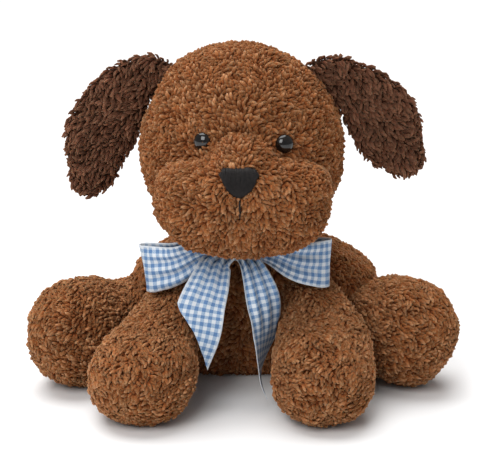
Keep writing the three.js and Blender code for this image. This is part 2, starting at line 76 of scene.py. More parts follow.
# ------------------------------------------------------------------ node networks


class Wire:
    """A node's output, which can be used in sums: each sum adds a Math node."""

    def __init__(self, net, socket):
        self.net = net
        self.socket = socket

    def maths(self, operation, *others):
        return self.net.maths(operation, self, *others)

    def __add__(self, other):
        return self.maths("ADD", other)

    def __radd__(self, other):
        return self.net.maths("ADD", other, self)

    def __sub__(self, other):
        return self.maths("SUBTRACT", other)

    def __rsub__(self, other):
        return self.net.maths("SUBTRACT", other, self)

    def __mul__(self, other):
        return self.maths("MULTIPLY", other)

    def __rmul__(self, other):
        return self.net.maths("MULTIPLY", other, self)

    def __truediv__(self, other):
        return self.maths("DIVIDE", other)

    def __rtruediv__(self, other):
        return self.net.maths("DIVIDE", other, self)

    def __mod__(self, other):
        return self.maths("FLOORED_MODULO", other)

    def __gt__(self, other):
        return self.maths("GREATER_THAN", other)


class Net:
    """A node tree that is written as calls: a type, its settings, then its inputs."""

    def __init__(self, tree):
        self.tree = tree

    def add(self, kind, settings=None, inputs=None, output=0):
        """A new node. A list of wires goes to one input that takes several."""
        node = self.tree.nodes.new(kind)
        for name, value in (settings or {}).items():
            if name == "stops":
                self.set_stops(node.color_ramp.elements, value)
            else:
                setattr(node, name, value)
        for name, value in (inputs or {}).items():
            if isinstance(value, (Wire, list)):
                for wire in value if isinstance(value, list) else [value]:
                    self.tree.links.new(wire.socket, node.inputs[name])
            else:
                node.inputs[name].default_value = value
        return Wire(self, node.outputs[output]) if node.outputs else node

    def set_stops(self, elements, stops):
        """The stops of a ramp, each a position and a colour; a new ramp has two already."""
        for index, (position, colour) in enumerate(stops):
            element = elements[index] if index < 2 else elements.new(position)
            element.position = position
            element.color = (*colour, 1)

    def maths(self, operation, *terms):
        return self.add("ShaderNodeMath", {"operation": operation}, dict(enumerate(terms)))

    def out(self, wire, output):
        """Another output of the node that a wire comes from."""
        return Wire(self, wire.socket.node.outputs[output])

    def split(self, vector):
        """The three parts of a vector."""
        first = self.add("ShaderNodeSeparateXYZ", None, {0: vector})
        return first, self.out(first, 1), self.out(first, 2)

    def join(self, x, y, z=0.0):
        return self.add("ShaderNodeCombineXYZ", None, {0: x, 1: y, 2: z})


class Finish(Net):
    """A material with one Principled shader."""

    def __init__(self, name, roughness, **uniform):
        self.material = bpy.data.materials.new(name)
        self.material.use_nodes = True
        super().__init__(self.material.node_tree)
        self.shader = self.tree.nodes["Principled BSDF"]
        self.shader.inputs["Roughness"].default_value = roughness
        for socket, value in uniform.items():
            self.shader.inputs[socket.replace("_", " ")].default_value = value

    def feed(self, socket, wire):
        self.tree.links.new(wire.socket, self.shader.inputs[socket])

    def bump(self, height, distance, strength):
        inputs = {"Height": height, "Distance": distance, "Strength": strength}
        self.feed("Normal", self.add("ShaderNodeBump", None, inputs))

    def noise(self, scale, detail=2.0, vector=None):
        """Cloudy noise, over the piece itself unless it is given another vector."""
        where = vector or self.add("ShaderNodeTexCoord", output="Object")
        inputs = {"Vector": where, "Scale": scale, "Detail": detail}
        return self.add("ShaderNodeTexNoise", None, inputs)

    def blend(self, share, first, second, way="MIX"):
        """Two colours mixed by a share."""
        settings = {"data_type": "RGBA", "blend_type": way}
        return self.add("ShaderNodeMix", settings, {0: share, 6: first, 7: second}, output=2)

    def ramp(self, share, *stops):
        return self.add("ShaderNodeValToRGB", {"stops": stops}, {0: share})


def paint(red, green, blue):
    """A colour given as it is seen, 0 to 255, as a linear one."""
    channels = [value / 255 for value in (red, green, blue)]
    return [c / 12.92 if c <= 0.04045 else ((c + 0.055) / 1.055) ** 2.4 for c in channels]


# ------------------------------------------------------------------ pile

SHADES = 16  # strips of the pile's colour map, from the darkest lock to the lightest
PILE_MAP = "OFBake"  # the map that the colours are read from
LOCK_SIDES = 4
LOCK_GIRTHS = (0.75, 1.0, 0.85, 0.42)  # of the lock's width, from its root to its end
STRIP_EDGE = 0.1  # left free at the edges of a strip, so that the shades don't run together
STRIP_WIDTH = 0.8
DARKEST_LOCK = 0.62  # of the pile's own colour
LIGHTEST_LOCK = 1.3
FINE_PATCH = 140.0  # the pile's light and dark tufts, a few locks wide: uneven tone and painted clump shade
BROAD_PATCH = 70.0


def pile_finish(name, root, body, tip):
    """Curly pile with painted light and shade: dark between the locks, light at their ends, each
    in its own shade.
    """
    finish = Finish(
        name,
        0.92,
        Sheen_Weight=0.2,
        Sheen_Roughness=0.5,
        Sheen_Tint=(0.85, 0.5, 0.3, 1),
        Specular_IOR_Level=0.05,
        Subsurface_Weight=0.4,
        Subsurface_Radius=(1.0, 0.55, 0.35),
        Subsurface_Scale=0.0025,
    )
    across, up, _ = finish.split(finish.add("ShaderNodeUVMap", {"uv_map": PILE_MAP}))
    strip = across * SHADES
    # The ramp along the locks is painted shade: darkest at the roots, where shade falls between
    # them, lightest at their lit ends.
    lock_colour_with_painted_shade = finish.ramp(up, (0.0, root), (0.45, body), (1.0, tip))
    # The strips make the locks darker or lighter: uneven tone, partly painted clump shade.
    shade = strip.maths("FLOOR") / (SHADES - 1)
    light = finish.ramp(shade, (0.0, [DARKEST_LOCK] * 3), (1.0, [LIGHTEST_LOCK] * 3))
    finish.feed("Base Color", finish.blend(1.0, lock_colour_with_painted_shade, light, "MULTIPLY"))
    fibres = ((strip % 1.0) * 40.0 + up * 5.0).maths("SINE")
    finish.bump(fibres, 0.12 * MM, 0.5)
    return finish.material


def lock_shapes(name, length, width, finish, curls):
    """A few curled locks of pile, standing on the origin and bending towards +X."""
    shapes = bpy.data.collections.new(name)
    girths = LOCK_GIRTHS
    rungs = len(girths) - 1
    for index, (curl, sway) in enumerate(curls):
        bm = bmesh.new()
        loops = bm.loops.layers.uv.new(PILE_MAP)
        ring = bmesh.ops.create_circle(bm, cap_ends=True, radius=width / 2, segments=LOCK_SIDES)
        bmesh.ops.scale(bm, verts=ring["verts"], vec=[girths[0]] * 3)
        level = {vert: 0.0 for vert in bm.verts}
        turn = Matrix.Rotation(math.radians(curl) / rungs, 3, "Y")
        turn = turn @ Matrix.Rotation(math.radians(sway) / rungs, 3, "X")
        bend = Matrix.Identity(3)
        centre = Vector()
        for rung in range(1, len(girths)):
            cap = max(bm.faces, key=lambda face: min(level[v] for v in face.verts))
            grown = bmesh.ops.extrude_discrete_faces(bm, faces=[cap])["faces"][0]
            bend = bend @ turn
            ahead = bend @ Vector((0, 0, length / rungs))
            bmesh.ops.scale(
                bm,
                verts=grown.verts,
                vec=[girths[rung] / girths[rung - 1]] * 3,
                space=Matrix.Translation(-centre),
            )
            swing = bend @ turn @ bend.inverted()
            bmesh.ops.rotate(bm, verts=grown.verts, cent=centre, matrix=swing)
            bmesh.ops.translate(bm, verts=grown.verts, vec=ahead)
            centre = centre + ahead
            for vert in grown.verts:
                level[vert] = rung / rungs
        for face in bm.faces:
            face.smooth = True
            for loop in face.loops:
                high, point = level[loop.vert], loop.vert.co
                about = math.atan2(point.y, point.x - centre.x * high**2)
                loop[loops].uv = (0.5 + about / math.tau, high)
        mesh = bpy.data.meshes.new(f"{name}_{index}")
        bm.to_mesh(mesh)
        bm.free()
        mesh.materials.append(finish)
        shapes.objects.link(bpy.data.objects.new(mesh.name, mesh))
    return shapes


def pile_network(name, shapes, spacing, swirl, swirl_size, seed):
    """Plants the locks all over a skin, each leaning along the skin's lie."""
    tree = bpy.data.node_groups.new(name, "GeometryNodeTree")
    tree.interface.new_socket("Skin", in_out="INPUT", socket_type="NodeSocketGeometry")
    tree.interface.new_socket("Pile", in_out="OUTPUT", socket_type="NodeSocketGeometry")
    net = Net(tree)

    def attribute(called, kind="FLOAT"):
        return net.add("GeometryNodeInputNamedAttribute", {"data_type": kind}, {"Name": called})

    def chance(low, high, number):
        inputs = {2: low, 3: high, "Seed": number}
        return net.add("FunctionNodeRandomValue", {"data_type": "FLOAT"}, inputs, output=1)

    skin = net.add("NodeGroupInput")
    roots = net.add(
        "GeometryNodeDistributePointsOnFaces",
        {"distribute_method": "POISSON"},
        {
            "Mesh": skin,
            "Distance Min": spacing,
            "Density Max": 4.0 / spacing**2,  # more than fit, so that the spacing decides
            "Density Factor": attribute("cover"),
            "Seed": seed,
        },
    )
    normal = net.out(roots, "Normal")
    drift = net.add("ShaderNodeTexNoise", None, {"Scale": 1 / swirl_size, "Detail": 1.0})
    angle = (drift - 0.5) * swirl + chance(-0.6, 0.6, seed + 1)
    lie = net.add(
        "ShaderNodeVectorRotate",
        {"rotation_type": "AXIS_ANGLE"},
        {"Vector": attribute("lie", "FLOAT_VECTOR"), "Axis": normal, "Angle": angle},
    )
    stand = net.add(
        "FunctionNodeAxesToRotation",
        {"primary_axis": "Z", "secondary_axis": "X"},
        {"Primary Axis": normal, "Secondary Axis": lie},
    )
    patches = net.add("ShaderNodeTexNoise", None, {"Scale": BROAD_PATCH, "Detail": 2.0})
    clumps = net.add("ShaderNodeTexNoise", None, {"Scale": FINE_PATCH, "Detail": 1.0})
    # The locks' shade: random tone, with broad and fine patches of painted clump shade; the fine
    # patches also make the darker locks shorter.
    shade = patches * 0.9 + clumps * 0.7 - 0.4 + chance(-0.26, 0.34, seed + 2)
    strip = (shade * SHADES).maths("FLOOR").maths("MAXIMUM", 1.0).maths("MINIMUM", SHADES - 1.0)
    rooted = net.add(
        "GeometryNodeStoreNamedAttribute",
        {"data_type": "FLOAT", "domain": "POINT"},
        {"Geometry": roots, "Name": "strip", "Value": strip},
    )
    chosen = net.add(
        "GeometryNodeCollectionInfo",
        None,
        {"Collection": shapes, "Separate Children": True, "Reset Children": True},
    )
    planted = net.add(
        "GeometryNodeInstanceOnPoints",
        None,
        {
            "Points": rooted,
            "Instance": chosen,
            "Pick Instance": True,
            "Rotation": stand,
            "Scale": (clumps * 0.9 + 0.55) * chance(0.8, 1.18, seed + 3),
        },
    )
    locks = net.add("GeometryNodeRealizeInstances", None, {"Geometry": planted})
    across, up, _ = net.split(attribute(PILE_MAP, "FLOAT_VECTOR"))
    across = (attribute("strip") + STRIP_EDGE + across * STRIP_WIDTH) / SHADES
    mapped = net.add(
        "GeometryNodeStoreNamedAttribute",
        {"data_type": "FLOAT2", "domain": "CORNER"},
        {"Geometry": locks, "Name": PILE_MAP, "Value": net.join(across, up)},
    )
    joined = net.add("GeometryNodeJoinGeometry", None, {0: [skin, mapped]})
    x, y, z = net.split(net.add("GeometryNodeInputPosition"))
    above_floor = net.join(x, y, z.maths("MAXIMUM", FLOOR_GAP))
    inputs = {"Geometry": joined, "Position": above_floor}
    net.add("NodeGroupOutput", None, {0: net.add("GeometryNodeSetPosition", None, inputs)})
    return tree


# ------------------------------------------------------------------ stuffed shapes

PILE = 3.4 * MM  # how far the knitted backing lies under the ends of the locks
FLOOR_GAP = 0.3 * MM  # a pressed lock's half thickness, over the floor
DEEP = 9 * MM  # a backing that is this far inside another piece carries no locks
# The backings are painted the darkest root colour, as shade between the locks.
# Where each triangle of a backing lies in the colour map: in the darkest strip, near the roots.
BACKING_CORNERS = ((0.1, 0.02), (0.8, 0.02), (0.4, 0.15))


def full(point, fullness):
    """A point of a unit ball, moved out towards a box as fullness rises above 2."""
    return point * sum(abs(c) ** fullness for c in point) ** (-1 / fullness)


def along(points, share):
    """The point at a share of the way along a smooth curve through evenly timed points."""
    last = len(points) - 1
    span = min(int(share * last), last - 1)
    t = share * last - span
    b, c = points[span], points[span + 1]
    a = points[span - 1] if span else b * 2 - c
    d = points[span + 2] if span + 2 <= last else c * 2 - b
    square, cube = a * 2 - b * 5 + c * 4 - d, b * 3 - a - c * 3 + d
    return (b * 2 + (c - a) * t + square * t**2 + cube * t**3) / 2


def heading(points, share):
    step = 0.01
    return (along(points, min(share + step, 1)) - along(points, max(share - step, 0))).normalized()


class Skin:
    """The knitted backing of one stuffed piece, and the way that its pile lies."""

    def __init__(self, name, detail=6):
        self.name = name
        self.bm = bmesh.new()
        bmesh.ops.create_icosphere(self.bm, subdivisions=detail, radius=1)
        self.tree = None

    def move(self, change):
        for vert in self.bm.verts:
            vert.co = change(vert.co)
        return self

    def ball(self, centre, size, fullness, swell=0.0, lean=0.0):
        half = [side / 2 - PILE for side in size]

        def change(p):
            p = full(p, fullness)
            widen = 1 - swell * p.z
            across, depth = p.x * widen * half[0], p.y * widen * half[1]
            return centre + Vector((across, depth + lean * p.z, p.z * half[2]))

        return self.move(change)

    def tube(self, spine, widths, depths, side, fullness=2.3):
        sizes = [Vector((w / 2 - PILE, d / 2 - PILE, 0)) for w, d in zip(widths, depths)]
        length = sum((b - a).length for a, b in zip(spine, spine[1:]))

        def change(p):
            p = full(p, fullness)
            share = (1 + p.z * (1 - 2 * PILE / length)) / 2
            ahead = heading(spine, share)
            across = (side - ahead * side.dot(ahead)).normalized()
            half = along(sizes, share)
            return along(spine, share) + across * p.x * half.x + ahead.cross(across) * p.y * half.y

        return self.move(change)

    def sculpt(self, change):
        """Moves each point by what change says for it."""
        return self.move(lambda p: p + change(p))

    def lumps(self, size, height, seed):
        """The uneven fullness of hand stuffing."""
        self.bm.normal_update()
        shift = Vector((7.3, 3.1, 0)) * seed  # far enough that no two pieces are alike
        for vert in self.bm.verts:
            vert.co += vert.normal * noise.noise(vert.co / size + shift) * height
        return self

    def rest(self):
        """Presses the underside flat on the floor."""
        for vert in self.bm.verts:
            vert.co.z = max(vert.co.z, FLOOR_GAP * 2)
        self.bm.normal_update()
        self.tree = BVHTree.FromBMesh(self.bm)
        return self

    def depth(self, point):
        """How far inside this skin a point is, or less than 0 outside it."""
        nearest, normal, _, _ = self.tree.find_nearest(point)
        return (nearest - point).dot(normal)

    def clear(self, point, gap):
        """The point, or the nearest one that lies a gap outside this skin."""
        nearest, normal, _, _ = self.tree.find_nearest(point)
        short = (nearest - point).dot(normal) + gap
        return point + normal * short if short > 0 else point


class Fur:
    """One kind of pile: its material, its locks, and how densely they are planted."""

    def __init__(self, name, slot, finish, length, width, curls, spacing, swirl, swirl_size, seed):
        self.finish = finish
        self.slot = slot
        shapes = lock_shapes(f"{name}_locks", length, width, finish, curls)
        self.network = pile_network(f"{name}_pile", shapes, spacing, swirl, swirl_size, seed)


def furred(skin, fur, body, nodes, lie, others):
    """Makes the piece of one skin with its pile, ties it to its body, and hides its CAD nodes."""
    mesh = bpy.data.meshes.new(skin.name)
    maps = skin.bm.loops.layers.uv.new(PILE_MAP)
    # Painted shade: each backing takes the darkest root colour of its pile.
    for face in skin.bm.faces:
        face.smooth = True
        for loop, (u, v) in zip(face.loops, BACKING_CORNERS):
            loop[maps].uv = (u / SHADES, v)
    skin.bm.to_mesh(mesh)
    mesh.materials.append(fur.finish)
    cover, lies = [], []
    for vert in mesh.vertices:
        point, normal = vert.co.copy(), vert.normal.copy()
        buried = any(other.depth(point) > DEEP for other in others)
        cover.append(0.0 if buried else 1.0)
        lies.extend(lie(point, normal))
    for name, kind, field, values in (
        ("cover", "FLOAT", "value", cover),
        ("lie", "FLOAT_VECTOR", "vector", lies),
    ):
        mesh.attributes.new(name, kind, "POINT").data.foreach_set(field, values)
    backing = bpy.data.objects.new(skin.name, mesh)
    bpy.context.scene.collection.objects.link(backing)
    backing.modifiers.new("pile", "NODES").node_group = fur.network
    view = bpy.context.evaluated_depsgraph_get()
    made = bpy.data.meshes.new_from_object(backing.evaluated_get(view))
    backing.modifiers.clear()
    backing.data = made
    made.name = skin.name
    for spare in ("cover", "lie", "strip", "id"):
        if spare in made.attributes:
            made.attributes.remove(made.attributes[spare])
    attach(backing, body)
    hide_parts(*nodes)


def away_from(centre, sag=0.0):
    """Pile brushed away from a point, and drooping by a share."""

    def lie(point, normal):
        out = point - centre
        out = out - normal * out.dot(normal)
        if out.length < 0.001 * MM:
            return Vector((1, 0, 0))
        down = Vector((0, 0, -1)) - normal * -normal.z
        return (out.normalized() + down * sag).normalized()

    return lie


def brushed(towards):
    """Pile brushed the same way all over."""
    ahead = towards.normalized()

    def lie(point, normal):
        return (ahead - normal * ahead.dot(normal)).normalized()

    return lie


# ------------------------------------------------------------------ the puppy's forms

def mm(x, y, z):
    return Vector((x, y, z)) * MM


def mirrored(side, x, y, z):
    return mm(side * x, y, z)


HEAD_CENTRE = mm(0, -20, 165)
HEAD_SIZE = mm(136, 122, 138)
MUZZLE_CENTRE = mm(0, -76, 140.5)
NOSE_CENTRE = mm(-0.5, -116, 158)

skins = {}


def rise(value, low, high):
    """0 below low, 1 above high, and smooth between them."""
    share = min(max((value - low) / (high - low), 0), 1)
    return share * share * (3 - 2 * share)


def head_set(p):
    """The crown sits a little to the right, and both cheeks are packed fuller than the brow."""
    cheek = rise(p.z, 0.11, 0.14) * (1 - rise(p.z, 0.175, 0.2)) * rise(abs(p.x), 0.03, 0.06)
    out = math.copysign(2.2, p.x) - 1.2
    return mm(out * cheek - 5 * rise(p.z, 0.185, 0.235), 0, 0)


def muzzle_brow(p):
    """The muzzle runs up between the eyes, and slopes away under each of them."""
    return mm(0, 0, (5 - 14 * rise(abs(p.x), 0.006, 0.027)) * rise(p.z, 0.146, 0.178))


skins["head"] = (
    Skin("head_fur")
    .ball(HEAD_CENTRE, HEAD_SIZE, 2.15, swell=0.06)
    .sculpt(head_set)
    .lumps(0.03, 0.0016, 1)
    .rest()
)
skins["muzzle"] = (
    Skin("muzzle_fur")
    .ball(MUZZLE_CENTRE, mm(118, 80, 78), 2.5, lean=5 * MM)
    .sculpt(muzzle_brow)
    .lumps(0.022, 0.0014, 2)
    .rest()
)


def flanks(p):
    """The body slumps to its left: that flank bulges out over the thigh, the other is drawn in."""
    if p.x < 0:
        return mm(5 * rise(-p.x, 0.03, 0.06) * rise(p.z, 0.06, 0.085), 0, 0)
    bulge = 4 + 11 * (1 - rise(p.z, 0.062, 0.088))
    return mm(bulge * rise(p.x, 0.03, 0.07) * rise(p.z, 0.03, 0.055), 0, 0)


def seat(p):
    """The pellets push the seat out between the forelegs."""
    return mm(0, -14 * rise(0.01 - p.y, 0, 0.03) * (1 - rise(p.z, 0.012, 0.05)), 0)


skins["body"] = (
    Skin("body_fur")
    .ball(mm(0, 18, 41), mm(164, 116, 114), 2.8, lean=-16 * MM)
    .sculpt(flanks)
    .sculpt(seat)
    .lumps(0.035, 0.002, 3)
    .rest()
)
skins["neck"] = Skin("neck_fur", detail=4).ball(pivot("head_nod"), mm(60, 60, 50), 2.2).rest()

# Each paw's middle, its width, length and height, the wrist's width and how far it bends out.
PAWS = {
    "left": (mm(52, -114, 29), 76, 76, 68, 62, 6),
    "right": (mm(-65.5, -113, 29), 80, 76, 68, 52, 2),
}
FORELEG_WIDTH = 45 * MM
THIGH_WIDTH = 58 * MM
HIND_FOOT = (114, -46, 34)  # its middle, out, back and up
HIND_FOOT_WIDTH = 74 * MM
HIND_FOOT_HEIGHT = 78 * MM


def foreleg(side_name):
    shoulder = pivot(f"{side_name}_foreleg_lift")
    paw, width, length, height, wrist, bend = PAWS[side_name]
    ahead = (paw - shoulder).normalized()
    root = shoulder - ahead * FORELEG_WIDTH / 2
    tip = paw + Vector((ahead.x, ahead.y, 0)) * length * MM / 2
    girths = [FORELEG_WIDTH, FORELEG_WIDTH, wrist * MM, width * MM, width * MM]
    heights = [FORELEG_WIDTH, FORELEG_WIDTH, FORELEG_WIDTH, height * MM, height * MM]
    elbow = (shoulder + paw) / 2 + mirrored(SIDES[side_name], bend, 0, 0)
    spine = [root, shoulder, elbow, paw, tip]
    return Skin(f"{side_name}_foreleg_fur").tube(spine, girths, heights, Vector((1, 0, 0)))


def hind_leg(side_name):
    side = SIDES[side_name]
    hip = pivot(f"{side_name}_hind_leg_splay")
    foot = mirrored(side, *HIND_FOOT)
    ahead = (foot - hip).normalized()
    tip = foot + ahead * HIND_FOOT_WIDTH / 2
    spine = [hip - ahead * THIGH_WIDTH / 2, hip, (hip + foot) / 2, foot, tip]
    girths = [THIGH_WIDTH] * 3 + [HIND_FOOT_WIDTH] * 2
    heights = [THIGH_WIDTH] * 3 + [HIND_FOOT_HEIGHT] * 2
    return Skin(f"{side_name}_hind_leg_fur").tube(spine, girths, heights, Vector((0, 1, 0)))


# The middle line of each ear, from inside the head to its tip: out, back and up from its root.
EAR_LINES = {
    "left": (
        (-6, 0, 3), (10, 0, 8), (30, 0, -4), (44, -1, -19),
        (54, -2, -37), (65, -3, -53), (69, -4, -60),
    ),
    "right": (
        (-6, 0, 2), (12, 0, 8), (32, 0, -3), (46, -1, -25),
        (53, -2, -44), (57, -3, -66), (57, -4, -76),
    ),
}
EAR_WIDTHS = (26, 28.6, 40, 50, 46, 34, 25)
EAR_THICKNESS = 17 * MM


def ear(side_name):
    side = SIDES[side_name]
    root = pivot(f"{side_name}_ear_flap")
    spine = [root + mirrored(side, *out) for out in EAR_LINES[side_name]]
    girths = [width * MM for width in EAR_WIDTHS]
    thick = [EAR_THICKNESS] * len(girths)
    return Skin(f"{side_name}_ear_fur").tube(spine, girths, thick, Vector((0.5, 0, side)), 2.7)


def tail():
    root = pivot("tail_wag")
    spine = [root + mm(0, y, z) for y, z in ((-6, -4), (15.6, 4), (28.6, 16), (32.2, 31.2))]
    girths = [24 * MM] * 3 + [19.2 * MM]
    return Skin("tail_fur", detail=5).tube(spine, girths, girths, Vector((1, 0, 0)))


def hind_foot_set(side_name):
    """Both feet are packed high; the left one leans back on its heel, over a high thigh."""
    side = SIDES[side_name]

    def change(p):
        out = side * p.x
        foot = rise(out, 0.085, 0.11)
        high = rise(p.z, 0.02, 0.06)
        if side < 0:
            return mm(0, 0, 4.5 * foot * high)
        heel = rise(out, 0.118, 0.145) * (1 - rise(p.z, 0.02, 0.045))
        thigh = rise(out, 0.06, 0.08) * (1 - rise(out, 0.1, 0.12))
        return mm(-4 * heel, 0, (4.5 * foot + 1.5 * thigh) * high + 4 * heel)

    return change


for number, name in enumerate(SIDES):
    skins[f"{name}_foreleg"] = foreleg(name).lumps(0.028, 0.0018, 10 + number).rest()
    thigh = hind_leg(name).sculpt(hind_foot_set(name))
    skins[f"{name}_hind_leg"] = thigh.lumps(0.03, 0.002, 20 + number).rest()
    skins[f"{name}_ear"] = ear(name).lumps(0.02, 0.001, 30 + number).rest()
skins["tail"] = tail().lumps(0.012, 0.0008, 40).rest()

# ------------------------------------------------------------------ pile on each form

curly = Fur(
    "curly",
    "curly_brown_fur",
    pile_finish("curly_brown_fur", paint(112, 52, 20), paint(130, 80, 45), paint(164, 121, 86)),
    length=4.8 * MM,
    width=2.3 * MM,
    curls=((150, 40), (120, -60), (175, 80), (95, 20), (140, -30)),
    spacing=1.55 * MM,
    swirl=5.0,
    swirl_size=0.016,
    seed=5,
)
dark = Fur(
    "dark",
    "curly_dark_fur",
    pile_finish("curly_dark_fur", paint(52, 24, 14), paint(84, 52, 38), paint(114, 79, 60)),
    length=6.2 * MM,
    width=2.3 * MM,
    curls=((120, 20), (95, -45), (140, 50), (80, 10)),
    spacing=1.8 * MM,
    swirl=3.5,
    swirl_size=0.016,
    seed=9,
)


def but(*names):
    """The skins that may bury a piece: all but the ones named."""
    return [skin for name, skin in skins.items() if name not in names]


furred(
    skins["head"],
    curly,
    "head",
    ["head_cover", "head_stuffing"],
    away_from(mm(0, -110, 170), sag=0.2),
    but("head", "left_ear", "right_ear", "neck"),
)
furred(
    skins["muzzle"],
    curly,
    "head",
    ["muzzle_cover", "muzzle_stuffing"],
    away_from(NOSE_CENTRE, sag=0.2),
    but("muzzle"),
)
furred(
    skins["body"],
    curly,
    "torso",
    ["body_cover", "body_stuffing", "seat_pellet_bag"],
    away_from(mm(0, -14, 110), sag=0.6),
    but("body", "neck"),
)
furred(skins["neck"], curly, "neck", ["neck_stuffing"], away_from(mm(0, -14, 140)), but("neck"))
for name in SIDES:
    for limb in ("foreleg", "hind_leg"):
        key = f"{name}_{limb}"
        bag = "forepaw" if limb == "foreleg" else "hind_foot"
        joint = pivot(f"{key}_{'lift' if limb == 'foreleg' else 'splay'}")
        furred(
            skins[key],
            curly,
            key,
            [f"{key}_cover", f"{key}_stuffing", f"{name}_{bag}_pellet_bag"],
            away_from(joint, sag=0.3),
            but(key),
        )
    key = f"{name}_ear"
    furred(
        skins[key],
        dark,
        key,
        [f"{key}_cover", f"{key}_stuffing"],
        brushed(mirrored(SIDES[name], 1, 0, -1.6)),
        but(key),
    )
furred(
    skins["tail"],
    curly,
    "tail",
    ["tail_cover", "tail_stuffing"],
    away_from(pivot("tail_wag")),
    but("tail"),
)

# ------------------------------------------------------------------ ribbon

RIBBON_WIDTH = 32 * MM
RIBBON_THICKNESS = 0.35 * MM
CHECK = 5.0 * MM  # one blue and one white check
PLEATS = 3  # folds that take up the ribbon's width where it is gathered
RIBBON_ROWS = 30
RIBBON_SPANS = 24  # even lengths that a ribbon's line is cut into
MEASURES = 200  # short steps in which a ribbon's line is measured
RIBBON_MAP = "ribbon"
YARN = 0.32 * MM
SELVEDGE = 0.465  # where the woven edge begins, as a share of the width from the middle


def gingham_finish():
    """Woven check: blue and white yarns crossing, paler where only one of them is blue."""
    finish = Finish("gingham_ribbon", 0.62, Sheen_Weight=0.15, Sheen_Roughness=0.4)
    uv = finish.add("ShaderNodeUVMap", {"uv_map": RIBBON_MAP})
    length, width, _ = finish.split(uv)
    warp = (width / CHECK + 0.27) % 1.0 > 0.5
    weft = (length / CHECK) % 1.0 > 0.5
    over = ((length / YARN).maths("FLOOR") + (width / YARN).maths("FLOOR")) % 2.0
    blue = warp * over + weft * (1 - over)
    mixed = (warp + weft) / 2
    edge = (width / RIBBON_WIDTH).maths("ABSOLUTE") > SELVEDGE
    share = (blue * 0.35 + mixed * 0.65) * (1 - edge * 0.75)
    slub = finish.noise(900.0, 1.0, uv)
    colour = finish.ramp(
        share + (slub - 0.5) * 0.12,
        (0.0, paint(214, 220, 226)),
        (1.0, paint(84, 124, 172)),
        (0.5, paint(146, 173, 202)),
    )
    finish.feed("Base Color", colour)
    threads = (length * (math.pi / YARN)).maths("SINE") * (width * (math.pi / YARN)).maths("SINE")
    finish.bump(threads + edge * 0.8, 0.06 * MM, 0.6)
    return finish.material


gingham = gingham_finish()


class Ribbon:
    """A length of ribbon laid along a line, gathered where it is held narrower than it is."""

    def __init__(self, name, line, across, widths, cuts=(0, 0), start=0.0):
        self.name = name
        runs = [0.0]
        for i in range(MEASURES):
            ends = along(line, i / MEASURES), along(line, (i + 1) / MEASURES)
            runs.append(runs[-1] + (ends[1] - ends[0]).length)
        self.length = runs[-1]
        # The same ribbon, with its points at even distances along it.
        marks = (self.length * i / RIBBON_SPANS for i in range(RIBBON_SPANS + 1))
        even = [bisect_left(runs, mark) / MEASURES for mark in marks]
        self.line, self.across, self.widths = (
            [along(values, min(share, 1)) for share in even] for values in (line, across, widths)
        )
        self.cuts, self.start = cuts, start
        self.steps = max(12, round(self.length / (2 * MM)))

    def point(self, share, side):
        """A point of the ribbon: its share along it, and its side, from -0.5 to 0.5."""
        ahead = heading(self.line, share)
        over = along(self.across, share)
        over = (over - ahead * over.dot(ahead)).normalized()
        out = ahead.cross(over)
        width = along(self.widths, share).x
        used = min(width / RIBBON_WIDTH, 1)
        fold = RIBBON_WIDTH / (2 * PLEATS) * math.sqrt(1 - used**2) * 0.5
        wave = math.sin(side * PLEATS * math.tau + self.start)
        return along(self.line, share) + over * side * width + out * (wave * fold)

    def build(self, nodes, over=(), lifted=None):
        """Makes the piece, clear of the skins it lies over; with lifted given, it gets a mesh of
        its own.
        """
        bm = bmesh.new()
        maps = bm.loops.layers.uv.new(RIBBON_MAP)
        bmesh.ops.create_grid(bm, x_segments=self.steps, y_segments=RIBBON_ROWS, size=0.5)
        for face in bm.faces:
            face.smooth = True
            for loop in face.loops:
                share, side = loop.vert.co.x + 0.5, loop.vert.co.y
                loop[maps].uv = (self.cut(share, side) * self.length, side * RIBBON_WIDTH)
        for vert in bm.verts:
            share, side = vert.co.x + 0.5, vert.co.y
            vert.co = self.point(self.cut(share, side), side)
            for skin in over:
                vert.co = skins[skin].clear(vert.co, PILE)
        mesh = bpy.data.meshes.new(self.name)
        bm.to_mesh(mesh)
        bm.free()
        mesh.materials.append(gingham)
        piece = bpy.data.objects.new(self.name, mesh)
        bpy.context.scene.collection.objects.link(piece)
        wall = piece.modifiers.new("cloth", "SOLIDIFY")
        wall.thickness = RIBBON_THICKNESS
        wall.offset = 0
        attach(piece, "torso")
        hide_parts(*nodes)
        cut_away = (abs(self.cuts[0]) + abs(self.cuts[1])) * RIBBON_WIDTH / 2
        RIBBON_WIDTH * (self.length - cut_away)
        if lifted:
            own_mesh(piece)

    def cut(self, share, side):
        """Slants the ribbon's two ends: each cut is how far one corner runs back, in widths."""
        first, last = (c * RIBBON_WIDTH / self.length for c in self.cuts)
        low = abs(first) * (0.5 + side * math.copysign(1, first or 1))
        high = 1 - abs(last) * (0.5 + side * math.copysign(1, last or 1))
        return low + share * (high - low)


def held_at(*widths):
    """How wide the gathered ribbon is at each point of its line."""
    return [Vector((width * MM, 0, 0)) for width in widths]


KNOT = middle("ribbon_knot") + mm(0, 0.5, 5)  # pulled up tight under the chin
KNOT_RADIUS = 5.5 * MM

# Each loop: its reach from the knot, the height of its outer fold and of the line halfway
# under the knot's, and the slant of that fold.
LOOPS = {"left": (63, -9.5, -7.0, 0.06), "right": (61.5, -13, -9.5, -0.2)}

